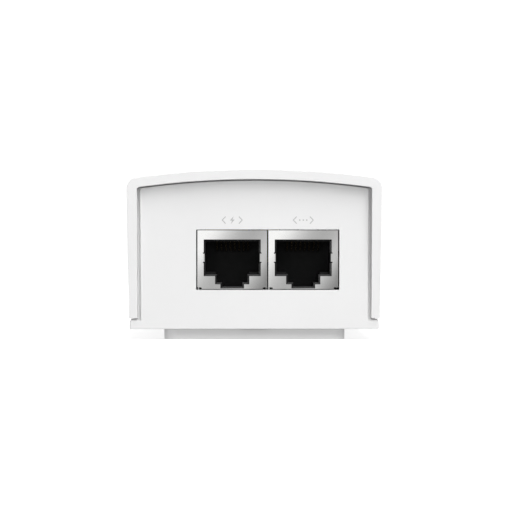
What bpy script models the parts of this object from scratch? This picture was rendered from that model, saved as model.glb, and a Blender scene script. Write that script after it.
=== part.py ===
"""Power-over-Ethernet injector with a built-in mains supply: a moulded base with its two end panels, an arched
cover, two shielded eight-way jacks at the front, a three-pin mains inlet at the back, the supply's board between
them, and a wall bracket that hooks under the base and slides off it.

Everything is written in millimetres and scaled to metres where a mesh is made. +X is to the right seen from the
jacks, +Y runs from the jacks to the mains inlet, +Z is up, and the origin is under the middle of the case."""

import math

import bmesh
import bpy

MM = 0.001

# Driving dimensions of the case
CASE_LENGTH = 120.0
CASE_HEIGHT = 38.4
CASE_HALF_TOP = 28.75  # half width under the cover's shoulders
CASE_HALF_FOOT = 28.36  # half width at the cover's lower edge
END_LEAN = 2.6  # the cover's ends lean in by this much from the top of the arch to the lower edge
BASE_BOTTOM = 2.44  # underside of the base, which the bracket carries
SEAM = 0.44  # gap between the base's flange and the cover's lower edge
BOSS_GAP = 0.3  # between the base's posts and the cover's bosses
FLANGE_TOP = 4.42
FLANGE_HALF = 28.15
FLANGE_CORNER = 0.3
ARCH_RADIUS = 195.0
SHOULDER_RADIUS = 2.5
COVER_WALL = 1.95  # side walls
ROOF_WALL = 2.15
INNER_STEP = 0.3  # the wall is this much thicker under the shoulders
INNER_SHOULDER = 0.6
PANEL_RECESS = 3.0
PANEL_WALL = 2.0
PANEL_HALF_TOP = 25.85  # half width of an end panel's face, under the arch
PANEL_HALF_FOOT = 25.65
PANEL_REBATE = 1.1  # depth of the rebate down both sides of a panel's face
PANEL_GAP = 0.12  # between the end panels and the cover round them
SIDE_WALL_FACE = 25.6
SILL_HALF = 27.9
SIDE_WALL = 1.6
SIDE_WALL_TOP = 12.1

COVER_FOOT = FLANGE_TOP + SEAM
ARCH_CENTRE = CASE_HEIGHT - ARCH_RADIUS
PANEL_FACE = CASE_LENGTH / 2 - PANEL_RECESS
PANEL_BACK = PANEL_FACE - PANEL_WALL
POST_TOP = SIDE_WALL_TOP

# Case screws, one in each corner
SCREW_X = 22.3
SCREW_Y = 52.2
SCREW_HEAD = 2.1
SCREW_SHANK = 1.2
BOSS_RADIUS = 2.6
POST_FOOT_RADIUS = 3.3
POST_FOOT_TOP = 7.5
PILOT_TOP = 24.0
COUNTERBORE = 2.4
COUNTERBORE_TOP = 5.5

# Board
BOARD_TOP = 11.3
BOARD_WALL = 1.6
BOARD_HALF_WIDTH = 23.2
BOARD_HALF_LENGTH = 54.6
BOARD_NOTCH_X = 19.2
BOARD_NOTCH_Y = 49.1
STANDOFF_X = 21.0
STANDOFF_Y = 44.0
STANDOFF_RADIUS = 1.8
SEAT = 0.2  # a component stands this far off the board

# Jacks, in a frame of their own: the origin is at the foot of the front face, +Y goes in
JACK_X = {"poe": -5.01, "lan": 11.05}
JACK_WIDTH = 15.8
JACK_HEIGHT = 13.3
JACK_DEPTH = 18.5
JACK_SHEET = 0.3
JACK_SETBACK = 0.2  # the shields stand this far behind the panel's face
JACK_FOOT = 11.46
MOUTH_TOP = 11.22
MOUTH_STEPS = ((6.45, 2.92), (3.87, 1.07), (2.68, 0.14))  # half width and floor of each step, widest first
LEAD_IN = 0.42
HOUSING_GAP = 0.15
CAVITY_DEPTH = 13.0
COMB_DEPTH = 13.6  # the arms' tips sit in a comb in the cavity's back wall
BLOCK_FRONT = 14.1
BLOCK_BACK = 17.85
BLOCK_HALF = 4.6
BLOCK_TOP = 12.2
CONTACTS = 8
CONTACT_PITCH = 1.02
TAIL_ROWS = (14.8, 17.3)
WIRE = 0.4
CHANNEL_HALF = 0.36
RUN_Z = 11.95  # height of the wires' straight run above the mouth
NOSE = (4.2, 11.5)  # centre of the wires' front bend, which the arms turn about
NOSE_RADIUS = RUN_Z - NOSE[1]
WINDOW_GAP = 0.28

# Mains inlet
INLET_Z = 20.05
INLET_BODY = (23.2, 17.2)
INLET_FLANGE = (26.4, 20.4)
INLET_BACK = 43.0
INLET_FACE = 58.9
INLET_FLOOR = 45.0
LOBE_RADIUS = 4.1
PIN_RADIUS = 1.2
PIN_TIP = 57.0
PIN_TAIL_Y = 41.4
PINS = {"live": (-5.0, 16.8), "neutral": (5.0, 16.8), "earth": (0.0, 23.3)}

# Wall bracket
BRACKET_HALF_WIDTH = 20.55
BRACKET_HALF_LENGTH = 54.0
BRACKET_TOP = 2.24
BRACKET_TRAVEL = 9.0
HOOK_X = 12.0
HOOK_Y = 30.0
HOOK_LENGTH = 7.0
HOOK_NECK = 1.2
HOOK_HEAD = 2.7
HOOK_HEAD_BOTTOM = 4.57
HOOK_HEAD_TOP = 6.1
POCKET_ROOF = 6.4
POCKET_SHELL = 1.0
WALL_SCREW_Y = 20.0
WALL_SCREW_RADIUS = 2.2

# Power packages, clipped to their heat sinks
POWER_X = 15.4
POWER_Y = {"output_rectifier": -12.0, "switching_transistor": 20.0}
POWER_LEGS = (-2.54, 0.0, 2.54)

# Status light
LIGHT_Y = -34.5
LIGHT_RADIUS = 1.5


# Mesh helpers


def clear_scene():
    for obj in list(bpy.data.objects):
        bpy.data.objects.remove(obj)


def shape(points, faces):
    """A scratch object from points in millimetres, with its faces turned outward."""
    mesh = bpy.data.meshes.new("shape")
    mesh.from_pydata([[value * MM for value in point] for point in points], [], faces)
    work = bmesh.new()
    work.from_mesh(mesh)
    bmesh.ops.recalc_face_normals(work, faces=work.faces)
    work.to_mesh(mesh)
    work.free()
    obj = bpy.data.objects.new("shape", mesh)
    bpy.context.scene.collection.objects.link(obj)
    return obj


def along(axis, first, second, position):
    """A point from its two coordinates across an axis, in X, Y, Z order, and its position along it."""
    if axis == "X":
        return (position, first, second)
    if axis == "Y":
        return (first, position, second)
    return (first, second, position)


def skin(rings):
    """A solid through rings of points."""
    count = len(rings[0])
    points = [point for ring in rings for point in ring]
    faces = [list(range(count)), list(range(len(points) - count, len(points)))]
    for ring in range(len(rings) - 1):
        start = ring * count
        for i in range(count):
            j = (i + 1) % count
            faces.append([start + i, start + j, start + count + j, start + count + i])
    return shape(points, faces)


def loft(rings, axis):
    """A solid through rings, each an outline and its position along the axis."""
    return skin([[along(axis, *point, position) for point in outline] for outline, position in rings])


def prism(outline, start, end, axis):
    return loft([(outline, start), (outline, end)], axis)


def box(low, high):
    outline = [(low[0], low[1]), (high[0], low[1]), (high[0], high[1]), (low[0], high[1])]
    return prism(outline, low[2], high[2], "Z")


def arc(centre, radius, start, end, segments):
    """Points on an arc, its angles in degrees."""
    angles = [math.radians(start + (end - start) * i / segments) for i in range(segments + 1)]
    return [(centre[0] + radius * math.cos(a), centre[1] + radius * math.sin(a)) for a in angles]


def circle(centre, radius, segments):
    return arc(centre, radius, 0, 360, segments)[:-1]


def rod(centre, radius, start, end, axis="Z", segments=20):
    return prism(circle(centre, radius, segments), start, end, axis)


def rounded(width, height, radius, centre=(0.0, 0.0), segments=4):
    """A rectangle with round corners."""
    x, y = width / 2 - radius, height / 2 - radius
    corners = ((x, y, 0), (-x, y, 90), (-x, -y, 180), (x, -y, 270))
    points = []
    for cx, cy, turn in corners:
        points += arc((centre[0] + cx, centre[1] + cy), radius, turn, turn + 90, segments)
    return points


def turned(profile, segments=24):
    """A solid of revolution about Z, from the radii and heights of its profile, lowest first."""
    return loft([(circle((0, 0), radius, segments), z) for radius, z in profile], "Z")


def boolean(body, tools, operation):
    """The body after a Boolean with each tool, and without the tools."""
    for tool in tools:
        modifier = body.modifiers.new("boolean", "BOOLEAN")
        modifier.operation = operation
        modifier.object = tool
    graph = bpy.context.evaluated_depsgraph_get()
    made = bpy.data.meshes.new_from_object(body.evaluated_get(graph))
    body.modifiers.clear()
    body.data = made
    for tool in tools:
        bpy.data.objects.remove(tool)
    return body


def joined(body, *tools):
    return boolean(body, tools, "UNION")


def cut(body, *tools):
    return boolean(body, tools, "DIFFERENCE")


def bevelled(body, width, segments=2):
    """The body with its sharp edges rounded."""
    work = bmesh.new()
    work.from_mesh(body.data)
    edges = [e for e in work.edges if e.calc_face_angle(0) > math.radians(50)]
    bmesh.ops.bevel(
        work, geom=edges, offset=width * MM, segments=segments, profile=0.5, affect="EDGES", clamp_overlap=True
    )
    work.to_mesh(body.data)
    work.free()
    return body


def material(name, colour, roughness, metallic=0.0, transmission=0.0):
    made = bpy.data.materials.new(name)
    made.use_nodes = True
    shader = made.node_tree.nodes["Principled BSDF"]
    shader.inputs["Base Color"].default_value = (*colour, 1.0)
    shader.inputs["Roughness"].default_value = roughness
    shader.inputs["Metallic"].default_value = metallic
    shader.inputs["Transmission Weight"].default_value = transmission
    return made


def name_part(obj, name, finish, at=(0.0, 0.0, 0.0), parent=None):
    """Turns a scratch object into a named part, placed in millimetres."""
    obj.name = name
    obj.data.name = name
    obj.data.materials.clear()
    obj.data.materials.append(finish)
    obj.data.shade_smooth()
    obj.data.set_sharp_from_angle(angle=math.radians(35))
    obj.location = [value * MM for value in at]
    obj.parent = parent
    return obj


def copy_part(original, name, at=(0.0, 0.0, 0.0), parent=None):
    """Another part with the same mesh."""
    obj = bpy.data.objects.new(name, original.data)
    obj.location = [value * MM for value in at]
    obj.parent = parent
    bpy.context.scene.collection.objects.link(obj)
    return obj


def place_holder(name, at):
    """An empty that carries the parts of one assembly."""
    empty = bpy.data.objects.new(name, None)
    empty.location = [value * MM for value in at]
    bpy.context.scene.collection.objects.link(empty)
    return empty


# Case


def arch(radius, half_width, shoulder, segments, steps=5):
    """The top of a section, right to left: two shoulders and the arch between them."""
    reach = math.sqrt((radius - shoulder) ** 2 - (half_width - shoulder) ** 2)
    centre_z = ARCH_CENTRE + reach
    lean = math.degrees(math.atan2(reach, half_width - shoulder))
    points = arc((half_width - shoulder, centre_z), shoulder, 0, lean, steps)
    points += arc((0, ARCH_CENTRE), radius, lean, 180 - lean, segments)[1:-1]
    points += arc((-(half_width - shoulder), centre_z), shoulder, 180 - lean, 180, steps)
    return points


def cover_section():
    inner_half_top = CASE_HALF_TOP - COVER_WALL - INNER_STEP
    inner_half_foot = CASE_HALF_FOOT - COVER_WALL
    outer = arch(ARCH_RADIUS, CASE_HALF_TOP, SHOULDER_RADIUS, 24)
    inner = arch(ARCH_RADIUS - ROOF_WALL, inner_half_top, INNER_SHOULDER, 24, 3)
    right = [(inner_half_foot, COVER_FOOT), (CASE_HALF_FOOT, COVER_FOOT)]
    left = [(-CASE_HALF_FOOT, COVER_FOOT), (-inner_half_foot, COVER_FOOT)]
    return right + outer + left + inner[::-1]


def cover_end(z):
    """Half the cover's length at a height."""
    return CASE_LENGTH / 2 - END_LEAN * (CASE_HEIGHT - z) / (CASE_HEIGHT - COVER_FOOT)


def corner_places():
    return [(x, y) for y in (-SCREW_Y, SCREW_Y) for x in (-SCREW_X, SCREW_X)]


def make_cover(finish):
    cover = skin([[(x, side * cover_end(z), z) for x, z in cover_section()] for side in (-1, 1)])
    roof = CASE_HEIGHT - ROOF_WALL
    boss_top = roof - 0.9
    bosses = [rod(place, BOSS_RADIUS, POST_TOP + BOSS_GAP, boss_top, segments=16) for place in corner_places()]
    pilots = [rod(place, SCREW_SHANK + 0.15, POST_TOP, PILOT_TOP, segments=12) for place in corner_places()]
    light_hole = rod((0, LIGHT_Y), LIGHT_RADIUS + 0.15, roof - 1, CASE_HEIGHT + 1, segments=20)
    cover = joined(cover, *bosses)
    return name_part(cut(cover, light_hole, *pilots), "top_cover", finish)


def end_panel_section(half_foot, half_top):
    top = arch(ARCH_RADIUS - ROOF_WALL - PANEL_GAP, half_top, INNER_SHOULDER, 20, 3)
    return [(half_foot, BASE_BOTTOM + 0.5)] + top + [(-half_foot, BASE_BOTTOM + 0.5)]


def end_panel(side):
    """One end panel: its face, the wider plate behind it that fills the cover from wall to wall, and a sill that
    closes the seam under the cover's edges."""
    inner_foot = CASE_HALF_FOOT - COVER_WALL - PANEL_GAP
    inner_top = CASE_HALF_TOP - COVER_WALL - INNER_STEP - PANEL_GAP
    face = end_panel_section(PANEL_HALF_FOOT, PANEL_HALF_TOP)
    plate = end_panel_section(inner_foot, inner_top)
    step = PANEL_FACE - PANEL_REBATE
    front, back = sorted((side * step, side * PANEL_BACK))
    return joined(
        prism(face, side * PANEL_FACE, side * (step - 0.2), "Y"),
        prism(plate, front, back, "Y"),
        box((-SILL_HALF, front, BASE_BOTTOM + 0.5), (SILL_HALF, back, COVER_FOOT - PANEL_GAP)),
    )


def hook_places():
    return [(x, y) for y in (-HOOK_Y, HOOK_Y) for x in (-HOOK_X, HOOK_X)]


def hook_pocket(place, room):
    """(chamber, slot) of one hook pocket: the chamber lets the head in at its front end, the slot only the neck."""
    x, y = place
    back = y + HOOK_LENGTH / 2 + room
    front = y - HOOK_LENGTH / 2 - BRACKET_TRAVEL - room
    entry_back = y + HOOK_LENGTH / 2 - BRACKET_TRAVEL + room
    wide, narrow = HOOK_HEAD + room, HOOK_NECK + room
    chamber = box((x - wide, front, FLANGE_TOP), (x + wide, back, POCKET_ROOF))
    entry = box((x - wide, front, BASE_BOTTOM - 1), (x + wide, entry_back, FLANGE_TOP + 1))
    slot = box((x - narrow, front + 1, BASE_BOTTOM - 1), (x + narrow, back, FLANGE_TOP + 1))
    return [chamber, entry, slot]


def hook_cover(place, room):
    x, y = place
    wide = HOOK_HEAD + room + POCKET_SHELL
    front = y - HOOK_LENGTH / 2 - BRACKET_TRAVEL - room - POCKET_SHELL
    back = y + HOOK_LENGTH / 2 + room + POCKET_SHELL
    return box((x - wide, front, FLANGE_TOP - 0.8), (x + wide, back, POCKET_ROOF + POCKET_SHELL))


def jack_window():
    left = JACK_X["poe"] - JACK_WIDTH / 2 - WINDOW_GAP
    right = JACK_X["lan"] + JACK_WIDTH / 2 + WINDOW_GAP
    low = (left, -PANEL_FACE - 1, JACK_FOOT - WINDOW_GAP)
    return box(low, (right, -PANEL_BACK + 1, JACK_FOOT + JACK_HEIGHT + WINDOW_GAP))


def make_base(finish):
    floor_outline = rounded(2 * FLANGE_HALF, 2 * PANEL_FACE, FLANGE_CORNER, segments=3)
    base = prism(floor_outline, BASE_BOTTOM, FLANGE_TOP, "Z")
    panels = [end_panel(side) for side in (-1, 1)]
    sides = [
        box(
            (min(side * SIDE_WALL_FACE, side * (SIDE_WALL_FACE - SIDE_WALL)), -PANEL_BACK - 0.5, FLANGE_TOP - 0.8),
            (max(side * SIDE_WALL_FACE, side * (SIDE_WALL_FACE - SIDE_WALL)), PANEL_BACK + 0.5, SIDE_WALL_TOP),
        )
        for side in (-1, 1)
    ]
    posts = [rod(place, BOSS_RADIUS, FLANGE_TOP - 0.8, POST_TOP, segments=16) for place in corner_places()]
    feet = [rod(place, POST_FOOT_RADIUS, FLANGE_TOP - 0.8, POST_FOOT_TOP, segments=16) for place in corner_places()]
    standoffs = [
        rod((x, y), STANDOFF_RADIUS, FLANGE_TOP - 0.8, BOARD_TOP - BOARD_WALL - SEAT, segments=12)
        for y in (-STANDOFF_Y, STANDOFF_Y)
        for x in (-STANDOFF_X, STANDOFF_X)
    ]
    covers = [hook_cover(place, 0.3) for place in hook_places()]
    base = joined(base, *panels, *sides, *posts, *feet, *standoffs, *covers)
    pockets = [tool for place in hook_places() for tool in hook_pocket(place, 0.3)]
    bores = [rod(place, COUNTERBORE, BASE_BOTTOM - 1, COUNTERBORE_TOP, segments=20) for place in corner_places()]
    holes = [rod(place, 1.5, BASE_BOTTOM - 1, POST_TOP + 1, segments=12) for place in corner_places()]
    width, height = INLET_BODY
    inlet = rounded(width + 0.6, height + 0.6, 1.2, (0, INLET_Z), 3)
    inlet_hole = prism(inlet, PANEL_BACK - 1, PANEL_FACE + 1, "Y")
    latch_groove = box((-3, -54.6, BASE_BOTTOM - 1), (3, -41.5, 3.5))
    base = cut(base, jack_window(), inlet_hole, latch_groove, *bores, *holes, *pockets)
    return name_part(base, "base_shell", finish)


def make_screws(finish):
    """Pan-head screws that come up through the base's posts into the cover's bosses."""
    head_top = COUNTERBORE_TOP - 0.1
    head_bottom = head_top - 1.7
    profile = [(SCREW_HEAD * 0.75, head_bottom), (SCREW_HEAD, head_bottom + 0.5), (SCREW_HEAD, head_top)]
    profile += [(SCREW_SHANK, head_top), (SCREW_SHANK, 20.0), (0.5, 21.0)]
    screw = turned(profile, 16)
    slots = [
        box((-1.3, -0.3, head_bottom - 1), (1.3, 0.3, head_bottom + 0.9)),
        box((-0.3, -1.3, head_bottom - 1), (0.3, 1.3, head_bottom + 0.9)),
    ]
    screw = cut(screw, joined(*slots))
    places = corner_places()
    first = name_part(screw, "case_screw_1", finish, (*places[0], 0))
    for number, place in enumerate(places[1:], 2):
        copy_part(first, f"case_screw_{number}", (*place, 0))


# Wall bracket


def make_bracket(finish):
    plate = prism(
        rounded(2 * BRACKET_HALF_WIDTH, 2 * BRACKET_HALF_LENGTH, 3.0, segments=5), 0.0, BRACKET_TOP, "Z"
    )
    half = HOOK_LENGTH / 2
    hooks = []
    for x, y in hook_places():
        section = [
            (x - HOOK_NECK, BRACKET_TOP - 0.8),
            (x + HOOK_NECK, BRACKET_TOP - 0.8),
            (x + HOOK_NECK, HOOK_HEAD_BOTTOM),
            (x + HOOK_HEAD, HOOK_HEAD_BOTTOM),
            (x + HOOK_HEAD, HOOK_HEAD_TOP - 0.6),
            (x + HOOK_HEAD - 0.6, HOOK_HEAD_TOP),
            (x - HOOK_HEAD + 0.6, HOOK_HEAD_TOP),
            (x - HOOK_HEAD, HOOK_HEAD_TOP - 0.6),
            (x - HOOK_HEAD, HOOK_HEAD_BOTTOM),
            (x - HOOK_NECK, HOOK_HEAD_BOTTOM),
        ]
        hooks.append(prism(section, y - half, y + half, "Y"))
    bump = prism([(-45.0, 1.6), (-42.0, 1.6), (-42.0, 3.1), (-42.6, 3.1), (-45.0, BRACKET_TOP)], -2.2, 2.2, "X")
    plate = joined(plate, bump, *hooks)
    tongue_slot = [
        (-5.5, -25.0),
        (-5.5, -48.0),
        (5.5, -48.0),
        (5.5, -25.0),
        (4.5, -25.0),
        (4.5, -47.0),
        (-4.5, -47.0),
        (-4.5, -25.0),
    ]
    cutters = [prism(tongue_slot, -1, BRACKET_TOP + 2, "Z")]
    for y in (-WALL_SCREW_Y + 8, WALL_SCREW_Y + 8):
        cutters.append(rod((0, y), WALL_SCREW_RADIUS, -1, BRACKET_TOP + 1, segments=24))
        cone = [(circle((0, y), 2.1, 24), 0.4), (circle((0, y), 4.4, 24), BRACKET_TOP + 0.2)]
        cutters.append(loft(cone, "Z"))
    bracket = cut(plate, *cutters)
    holder = place_holder("bracket_slide", (0, 0, 0))
    return name_part(bracket, "wall_bracket", finish, parent=holder)


# Jacks


def mouth_outline(inset):
    """The stepped outline that a plug with its latch underneath goes through, made smaller by inset."""
    rights = []
    for half, floor in MOUTH_STEPS[::-1]:
        if rights:
            rights.append((rights[-1][0], floor + inset))
        rights.append((half - inset, floor + inset))
    rights.append((MOUTH_STEPS[0][0] - inset, MOUTH_TOP - inset))
    return rights + [(-x, z) for x, z in rights[::-1]]


def make_shield():
    """A folded sheet: front with the mouth, sides, top and back, with grounding springs and board tabs."""
    half, sheet = JACK_WIDTH / 2, JACK_SHEET
    outline = [
        (-half + 1.0, 0.0),
        (half - 1.0, 0.0),
        (half - 1.0, 0.4),
        (half, 0.4),
        (half, JACK_HEIGHT),
        (-half, JACK_HEIGHT),
        (-half, 0.4),
        (-half + 1.0, 0.4),
    ]
    shield = prism(outline, 0, JACK_DEPTH, "Y")
    inside = box((-half + sheet, sheet, -1), (half - sheet, JACK_DEPTH - sheet, JACK_HEIGHT - sheet))
    shield = cut(shield, inside, prism(mouth_outline(0), -1, sheet + 1, "Y"))
    additions = []
    for side in (-1, 1):
        reach = MOUTH_STEPS[0][0]
        spring = [
            (side * (reach + 0.6), 0.0),
            (side * (reach - 0.28), 0.0),
            (side * (reach - 0.28), 0.25),
            (side * (reach + 0.6), 0.28),
        ]
        additions.append(prism(spring, 6.05, 8.15, "Z"))
        edge = side * half
        low, high = sorted((edge, edge - side * sheet))
        for y in (5.0, 11.5):
            additions.append(box((low, y, -2.7), (high, y + 1.6, 1.0)))
    return joined(shield, *additions)


def contact_x(number):
    return (number - (CONTACTS - 1) / 2) * CONTACT_PITCH


def tail_row(number):
    return TAIL_ROWS[1 - number % 2]


def make_housing():
    """The moulding: a stepped cavity, a roof channel and a comb slot for each wire, and a pocket for the block."""
    half = JACK_WIDTH / 2 - JACK_SHEET - HOUSING_GAP
    front, back = JACK_SHEET + HOUSING_GAP, JACK_DEPTH - JACK_SHEET - HOUSING_GAP
    top = JACK_HEIGHT - JACK_SHEET - HOUSING_GAP
    housing = box((-half, front, 0.05), (half, back, top))
    cavity = loft(
        [
            (mouth_outline(0.0), front - LEAD_IN),
            (mouth_outline(0.0), front),
            (mouth_outline(LEAD_IN), front + LEAD_IN),
            (mouth_outline(LEAD_IN), CAVITY_DEPTH),
        ],
        "Y",
    )
    pocket = box((-BLOCK_HALF - 0.2, BLOCK_FRONT - 0.2, -1), (BLOCK_HALF + 0.2, back + 1, BLOCK_TOP + 0.2))
    cutters = [cavity, pocket]
    for number in range(CONTACTS):
        low, high = contact_x(number) - CHANNEL_HALF, contact_x(number) + CHANNEL_HALF
        cutters.append(box((low, 3.0, 10.0), (high, BLOCK_FRONT, RUN_Z + 0.5)))
        cutters.append(box((low, CAVITY_DEPTH - 0.2, 8.4), (high, COMB_DEPTH, 10.45)))
    for side in (-1, 1):
        reach = MOUTH_STEPS[0][0]
        low, high = sorted((side * (reach - 1.0), side * (reach + 0.5)))
        cutters.append(box((low, front - 1, 5.9), (high, 3.2, 8.3)))
    housing = cut(housing, *cutters)
    ledges = []
    for side in (-1, 1):
        low, high = sorted((side * 3.8, side * 6.3))
        ledges.append(box((low, 2.4, 3.0), (high, CAVITY_DEPTH + 0.4, 3.85)))
    return joined(housing, *ledges)


def make_block():
    """The insert that holds the wires: each wire's run to the front bend, its leg and its soldered tail."""
    block = box((-BLOCK_HALF, BLOCK_FRONT, 0.3), (BLOCK_HALF, BLOCK_BACK, BLOCK_TOP))
    half = WIRE / 2
    wires = []
    for number in range(CONTACTS):
        x, row = contact_x(number), tail_row(number)
        wires.append(box((x - half, NOSE[0] + 0.15, RUN_Z - half), (x + half, BLOCK_FRONT + 0.5, RUN_Z + half)))
        wires.append(box((x - half, row - half, -3.0), (x + half, row + half, 1.0)))
    return joined(block, *wires)


def make_contact():
    """A spring arm, seen from its bend: the nose, the slope that a plug lifts, and the tip in its comb."""
    path = arc((0, 0), NOSE_RADIUS, 112, 250, 4)
    path += [(1.8, -1.2), (7.8, -2.65), (9.0, -2.65)]
    return prism(thickened(path, WIRE / 2), -WIRE / 2, WIRE / 2, "X")


def thickened(path, half):
    """The outline of a flat strip that follows a path, square at its ends."""
    left, right = [], []
    for i, (x, y) in enumerate(path):
        before = path[max(i - 1, 0)]
        after = path[min(i + 1, len(path) - 1)]
        dx1, dy1 = x - before[0], y - before[1]
        dx2, dy2 = after[0] - x, after[1] - y
        angles = [math.atan2(dy, dx) for dx, dy in ((dx1, dy1), (dx2, dy2)) if dx or dy]
        turn = (angles[-1] - angles[0] + math.pi) % (2 * math.pi) - math.pi
        heading = angles[0] + turn / 2 + math.pi / 2
        reach = half / math.cos(turn / 2)
        left.append((x + reach * math.cos(heading), y + reach * math.sin(heading)))
        right.append((x - reach * math.cos(heading), y - reach * math.sin(heading)))
    return left + right[::-1]


def make_jacks(finishes):
    meshes = {}
    for name, x in JACK_X.items():
        front = (x, -PANEL_FACE + JACK_SETBACK, JACK_FOOT)
        jack = place_holder(f"{name}_jack", front)
        bend = (x, front[1] + NOSE[0], front[2] + NOSE[1])
        hinge = place_holder(f"{name}_contact_flex", bend)
        pieces = [("jack_shield", make_shield, (0, 0, 0), jack), ("jack_housing", make_housing, (0, 0, 0), jack)]
        pieces.append(("contact_block", make_block, (0, 0, 0), jack))
        for number in range(CONTACTS):
            pieces.append((f"contact_{number + 1}", make_contact, (contact_x(number), 0, 0), hinge))
        for title, maker, at, parent in pieces:
            if maker in meshes:
                copy_part(meshes[maker], f"{name}_{title}", at, parent)
            else:
                finish = finishes[title.split("_")[1] if parent is jack else "contact"]
                meshes[maker] = name_part(maker(), f"{name}_{title}", finish, at, parent)


# Mains inlet


def make_inlet(finishes):
    flange = prism(rounded(*INLET_FLANGE, 2.0, (0, INLET_Z)), PANEL_FACE + 0.15, INLET_FACE, "Y")
    body = prism(rounded(*INLET_BODY, 1.0, (0, INLET_Z), 3), INLET_BACK, PANEL_FACE + 0.6, "Y")
    housing = joined(flange, body)
    pair_z, single_z = PINS["live"][1], PINS["earth"][1]
    spread = PINS["neutral"][0]
    wide = arc((spread, pair_z), LOBE_RADIUS, -90, 90, 10) + arc((-spread, pair_z), LOBE_RADIUS, 90, 270, 10)
    tall = arc((0, single_z), LOBE_RADIUS, 0, 180, 10) + [(-LOBE_RADIUS, pair_z), (LOBE_RADIUS, pair_z)]
    cavity = joined(prism(wide, INLET_FLOOR, INLET_FACE + 1, "Y"), prism(tall, INLET_FLOOR, INLET_FACE + 1, "Y"))
    holes = [rod(place, PIN_RADIUS + 0.1, INLET_BACK - 1, INLET_FLOOR + 1, "Y", 16) for place in PINS.values()]
    housing = cut(housing, cavity, *holes)
    name_part(housing, "inlet_housing", finishes["inlet"])
    for name, (x, z) in PINS.items():
        blade = loft(
            [
                (circle((0, 0), PIN_RADIUS, 16), PIN_TAIL_Y - 0.9),
                (circle((0, 0), PIN_RADIUS, 16), PIN_TIP - 0.8),
                (circle((0, 0), PIN_RADIUS * 0.6, 16), PIN_TIP),
            ],
            "Y",
        )
        tail = rod((0, PIN_TAIL_Y), 0.8, BOARD_TOP - BOARD_WALL - 1.2 - z, 0, segments=12)
        name_part(joined(blade, tail), f"inlet_pin_{name}", finishes["pin"], (x, 0, z))


# Board and what stands on it


def board_holes():
    """Through holes for the jacks' wires and tabs and the inlet's tails."""
    low, high = BOARD_TOP - BOARD_WALL - 1, BOARD_TOP + 1
    front = -PANEL_FACE + JACK_SETBACK
    holes = []
    for x in JACK_X.values():
        for number in range(CONTACTS):
            holes.append(rod((x + contact_x(number), front + tail_row(number)), 0.42, low, high, segments=6))
    left = JACK_X["poe"] - JACK_WIDTH / 2
    middle = (JACK_X["poe"] + JACK_X["lan"]) / 2
    right = JACK_X["lan"] + JACK_WIDTH / 2
    for centre, half in ((left + 0.15, 0.45), (middle, 0.75), (right - 0.15, 0.45)):
        for y in (5.0, 11.5):
            holes.append(box((centre - half, front + y - 0.3, low), (centre + half, front + y + 1.9, high)))
    for x, _ in PINS.values():
        holes.append(rod((x, PIN_TAIL_Y), 1.1, low, high, segments=10))
    for y in POWER_Y.values():
        holes += [rod((POWER_X, y + leg), 0.75, low, high, segments=8) for leg in POWER_LEGS]
    return holes


def make_board(finish):
    x, y = BOARD_HALF_WIDTH, BOARD_HALF_LENGTH
    nx, ny = BOARD_NOTCH_X, BOARD_NOTCH_Y
    quarter = [(x, ny), (nx, ny), (nx, y)]
    outline = quarter + [(-a, b) for a, b in quarter[::-1]]
    outline += [(-a, -b) for a, b in quarter] + [(a, -b) for a, b in quarter[::-1]]
    board = prism(outline, BOARD_TOP - BOARD_WALL, BOARD_TOP, "Z")
    return name_part(cut(board, *board_holes()), "main_board", finish)


def on_board(obj, name, finish, x, y):
    return name_part(obj, name, finish, (x, y, BOARD_TOP + SEAT))


def block(size, edge=0.3):
    """A moulded block that stands on the board, its origin under its middle."""
    width, depth, height = size
    return bevelled(box((-width / 2, -depth / 2, 0), (width / 2, depth / 2, height)), edge, 1)


def electrolytic(radius, height):
    """A can with the rolled groove near its foot and the pressed-in rim on top."""
    groove = radius - 0.5
    profile = [(radius - 0.4, 0), (radius, 0.4), (radius, 1.8), (groove, 2.3), (groove, 2.7), (radius, 3.2)]
    profile += [(radius, height - 0.5), (radius - 0.5, height), (radius - 1.0, height), (radius - 1.2, height - 0.4)]
    return turned(profile)


def disc(radius, thickness):
    """A dipped disc standing on its edge, across X."""
    edge = thickness / 2
    rings = [
        (circle((0, radius), radius - edge * 0.7, 20), -edge),
        (circle((0, radius), radius, 20), -edge * 0.3),
        (circle((0, radius), radius, 20), edge * 0.3),
        (circle((0, radius), radius - edge * 0.7, 20), edge),
    ]
    return loft(rings, "X")


def make_transformer(finishes, x, y):
    """A ferrite core round a wound bobbin: an outer loop with a centre leg that the winding clears."""
    loop = cut(
        box((-12.5, -5.0, 0), (12.5, 5.0, 20.0)),
        box((-9.3, -6.0, 3.4), (9.3, 6.0, 16.6)),
    )
    core = joined(loop, box((-3.1, -5.0, 2.0), (3.1, 5.0, 18.0)))
    on_board(core, "transformer_core", finishes["ferrite"], x, y)
    wound = prism(rounded(18.0, 19.0, 4.0), 3.8, 16.2, "Z")
    core_room = box((-3.5, -5.4, 2), (3.5, 5.4, 18))
    winding = cut(wound, core_room)
    on_board(winding, "transformer_winding", finishes["tape"], x, y)


def make_heat_sink(name, finish, x, y, length, height):
    """A bent plate with a short foot."""
    section = [(-1.0, 0), (3.0, 0), (3.0, 1.5), (1.0, 1.5), (1.0, height), (-1.0, height)]
    on_board(prism(section, -length / 2, length / 2, "Y"), name, finish, x, y)


def power_package(side):
    """A three-legged power package, standing up, its metal tab towards +X or -X."""
    body = box((-1.6, -5.0, 3.0), (1.6, 5.0, 12.0))
    low, high = sorted((side * 1.9, side * 0.7))
    tab = cut(box((low, -5.0, 3.5), (high, 5.0, 18.5)), rod((0, 15.6), 1.8, -3, 3, "X", 16))
    legs = [box((-0.4, y - 0.4, -2.4), (0.4, y + 0.4, 4.0)) for y in POWER_LEGS]
    return joined(body, tab, *legs)


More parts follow.
